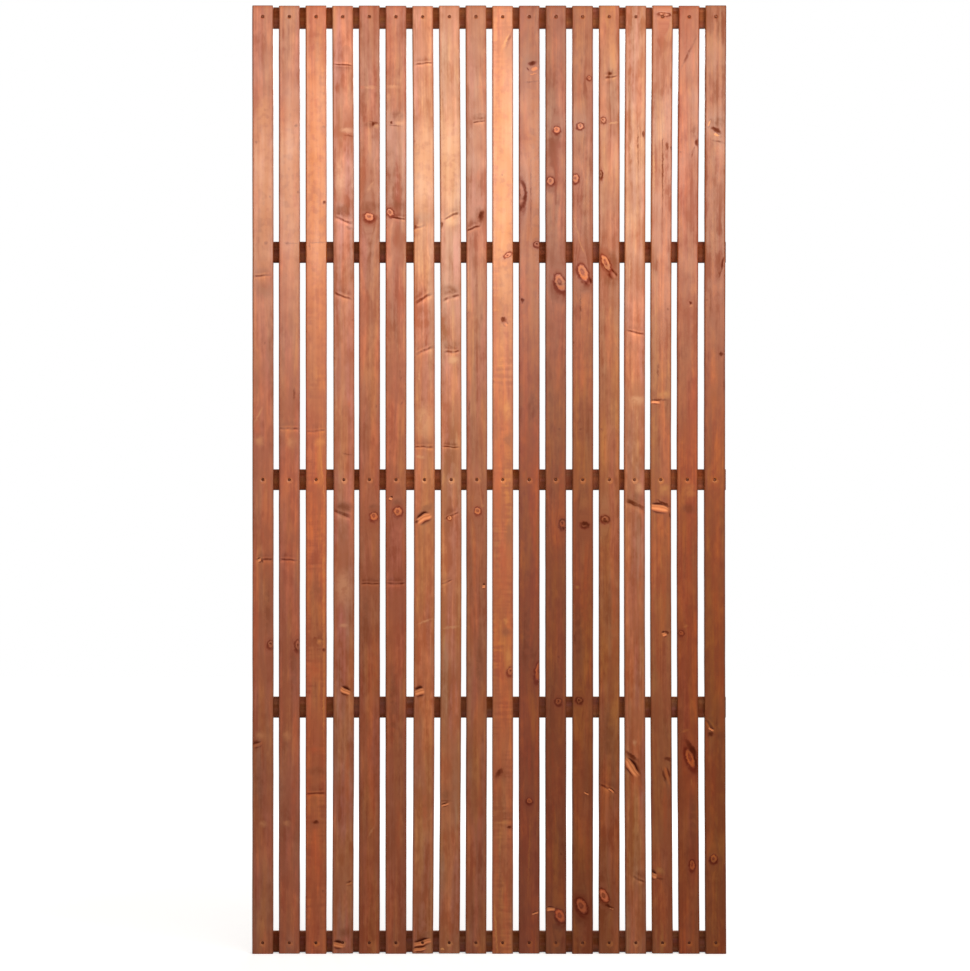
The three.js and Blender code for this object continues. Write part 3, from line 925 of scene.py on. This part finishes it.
def stained_steel(name):
    """Bright steel wire nails that the stain brush ran over.

    The eye sees small brown discs of dried stain, a little metallic in places.
    """
    material = bpy.data.materials.new(name)
    tree = emptied(material)
    place = add(tree, "ShaderNodeTexCoord").outputs["Object"]
    # Dried stain lies in spots about 1 mm across.
    spots = add(tree, "ShaderNodeTexNoise", {"Vector": place, "Scale": 700, "Detail": 3})
    share = add(tree, "ShaderNodeMapRange", {
        "Value": spots, "From Min": 0.38, "From Max": 0.6,
    }, interpolation_type="SMOOTHSTEP")
    colour = add(tree, "ShaderNodeMix", {
        "Factor": share, "A": linear(0x7A442C), "B": linear(0x481E10),
    }, data_type="RGBA")
    rough = add(tree, "ShaderNodeMapRange", {"Value": share, "To Min": 0.6, "To Max": 0.85})
    bare = add(tree, "ShaderNodeMapRange", {"Value": share, "To Min": 0.2, "To Max": 0})
    bump = add(tree, "ShaderNodeBump", {"Height": spots, "Strength": 0.3, "Distance": 0.1 * MM})
    steel = add(tree, "ShaderNodeBsdfPrincipled", {
        "Base Color": colour, "Roughness": rough, "Metallic": bare, "Normal": bump,
        "Specular IOR Level": 0.2,
    })
    add(tree, "ShaderNodeOutputMaterial", {"Surface": steel})
    return material


# ---- The panel ----

def size_and_middle(node):
    """A CAD node's size and middle, in millimetres."""
    low, high = (np.array(corner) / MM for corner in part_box(node))
    return high - low, (high + low) / 2


RAIL_HEIGHTS = {rail: size_and_middle(rail)[1][2] for rail in RAILS}


def put_slat(number):
    """One slat: its near face is the front, its length runs up, and it bows at its middle."""
    name = f"slat_{number:02d}"
    (wide, thick, length), (x, y, _) = size_and_middle(name)
    nails = [height for rail, height in RAIL_HEIGHTS.items() if rail not in NAILED_FROM_BEHIND]
    bow = BOWS[number - 1]
    marks = marks_of(SLAT_MARKS[number])
    marks += [Mark("bruise", bow, nails[1] - 1, 5, 5), Mark("bruise", 0, nails[2] - 1, 5, 5)]
    short = (SHORT_AT_HEAD[number - 1], SHORT_AT_FOOT[number - 1])
    size = (wide, thick, length)
    rings, poles, values = board_surface(size, SLAT_EASE, nails, marks, bow, short, number)
    corner = np.array([x, y - thick / 2, 0])
    material = stained_pine(f"stained_pine_{name}", LOOKS[number], marks, (x * MM, 0), number)
    tube = closed_tube(rings + corner, poles + corner)
    add_piece(f"{name}_wood", tube, material, [name], values)
    return x


def put_rail(order, name, nail_places):
    """One rail, counted from the top: its near face is the back, and its length runs to the right."""
    (length, thick, wide), (x, y, z) = size_and_middle(name)
    start = x - length / 2
    nails = [place - start for place in nail_places] if name in NAILED_FROM_BEHIND else []
    marks = marks_of(RAIL_MARKS[name])
    own_marks = [Mark(m.kind, m.up, m.across - start, m.half_high, m.half_wide, -m.lean) for m in marks]
    seed = RAIL_SEED + order
    size = (wide, thick, length)
    rings, poles, values = board_surface(size, RAIL_EASE, nails, own_marks, 0.0, (0.0, 0.0), seed)
    corner = np.array([start, y + thick / 2, z])

    def laid(points):
        return corner + np.stack([points[..., 2], -points[..., 1], points[..., 0]], axis=-1)

    look = RAIL_LOOK._replace(
        tone=RAIL_TONES[order], heart_across=7 - 7 * order, lean_across=0.3 * (order - 2)
    )
    material = stained_pine(f"dark_stained_pine_{name}", look, marks, (0, z * MM), seed)
    tube = closed_tube(laid(rings), laid(poles))
    add_piece(f"{name}_wood", tube, material, [name], values)


slat_places = [put_slat(number) for number in range(1, SLATS + 1)]
steel = stained_steel("stained_steel")
middle_height = RAIL_HEIGHTS["middle_rail"]
for order, (rail, height) in enumerate(RAIL_HEIGHTS.items()):
    off_middle = (height - middle_height) / (RAIL_HEIGHTS["top_rail"] - middle_height)
    nail_places = [place + bow * (1 - off_middle**2) for place, bow in zip(slat_places, BOWS)]
    put_rail(order, rail, nail_places)
    row = nail_row(nail_places, height, rail in NAILED_FROM_BEHIND, NAIL_SEED + order)
    nodes = [f"{rail}_nail_{number:02d}" for number in range(1, SLATS + 1)]
    packed = [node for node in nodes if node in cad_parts]
    add_piece(f"{rail}_nails", row, steel, packed, {})


# ---- Floor, background, light and camera ----

def white_behind(tree, lit, white):
    """Mixes in white for what the camera sees directly, in a mirror or through glass."""
    path = add(tree, "ShaderNodeLightPath")
    seen = path.outputs["Is Camera Ray"]
    for ray in ("Is Glossy Ray", "Is Transmission Ray"):
        seen = add(tree, "ShaderNodeMath", {0: seen, 1: path.outputs[ray]}, operation="MAXIMUM")
    return add(tree, "ShaderNodeMixShader", {0: seen, 1: lit, 2: white})


FLOOR_HALF = 9.0  # metres

floor_mesh = bpy.data.meshes.new("studio_floor")
floor_corners = FLOOR_HALF * np.array([[-1, -1, 0], [1, -1, 0], [1, 1, 0], [-1, 1, 0]])
floor_mesh.from_pydata(floor_corners.tolist(), [], [(0, 1, 2, 3)])
floor = bpy.data.objects.new("studio_floor", floor_mesh)
bpy.context.scene.collection.objects.link(floor)

paper = bpy.data.materials.new("pale_paper")
tree = emptied(paper)
matt = add(tree, "ShaderNodeBsdfDiffuse", {"Color": linear(0xCECCC8)})
shadowed = add(tree, "ShaderNodeBsdfDiffuse", {"Color": (0.8, 0.8, 0.8, 1)})
# The lamps light the paper round the panel, so it glows less there, and the panel's shadow shows.
paper_place = add(tree, "ShaderNodeTexCoord").outputs["Object"]
away = add(tree, "ShaderNodeVectorMath", {0: paper_place, 1: (0.1, 0.4, 0.0)}, operation="DISTANCE")
glow = add(tree, "ShaderNodeMapRange", {
    "Value": away, "From Min": 0.9, "From Max": 2.2, "To Min": 0.6, "To Max": 0.9,
}, interpolation_type="SMOOTHSTEP")
glow = add(tree, "ShaderNodeEmission", {"Color": (1, 1, 1, 1), "Strength": glow})
seen_paper = add(tree, "ShaderNodeAddShader", {0: shadowed, 1: glow})
add(tree, "ShaderNodeOutputMaterial", {"Surface": white_behind(tree, matt, seen_paper)})
floor_mesh.materials.append(paper)

world = bpy.data.worlds.new("studio")
tree = emptied(world)
air = add(tree, "ShaderNodeBackground", {"Color": (1, 0.985, 0.96, 1), "Strength": 0.16})
white = add(tree, "ShaderNodeBackground", {"Color": (1, 1, 1, 1), "Strength": 1.0})
add(tree, "ShaderNodeOutputWorld", {"Surface": white_behind(tree, air, white)})
bpy.context.scene.world = world


def softbox(name, place, aim, wide, high, watts):
    """A rectangular studio lamp that faces aim and that the camera doesn't see."""
    lamp = bpy.data.lights.new(name, "AREA")
    lamp.shape = "RECTANGLE"
    lamp.size = wide
    lamp.size_y = high
    lamp.energy = watts
    lamp.color = (1.0, 0.97, 0.92)
    held = bpy.data.objects.new(name, lamp)
    held.location = place
    held.rotation_euler = (Vector(aim) - Vector(place)).to_track_quat("-Z", "Y").to_euler()
    held.visible_camera = False
    bpy.context.scene.collection.objects.link(held)


softbox("front_softbox", (0.15, -1.5, 1.66), (0.0, 0, 1.75), 1.9, 0.4, 29.5)
softbox("right_softbox", (0.75, -1.25, 1.66), (0.1, 0, 1.7), 0.35, 0.4, 11)
softbox("rear_softbox", (0.4, 2.4, 2.2), (0, 0, 1.0), 2.2, 0.6, 40)

CAMERA_PLACE = (-0.008, -6.3, 0.889)  # level, a little left of the panel's middle line
VIEW_HIGH = 1.847  # metres seen from top to bottom at the panel
SENSOR = 36.0

camera_data = bpy.data.cameras.new("camera")
camera_data.sensor_width = SENSOR
camera_data.lens = SENSOR * -CAMERA_PLACE[1] / VIEW_HIGH
camera = bpy.data.objects.new("camera", camera_data)
camera.location = CAMERA_PLACE
camera.rotation_euler = (math.radians(90), 0, 0)
bpy.context.scene.collection.objects.link(camera)
bpy.context.scene.camera = camera
bpy.context.scene.view_settings.view_transform = "Standard"
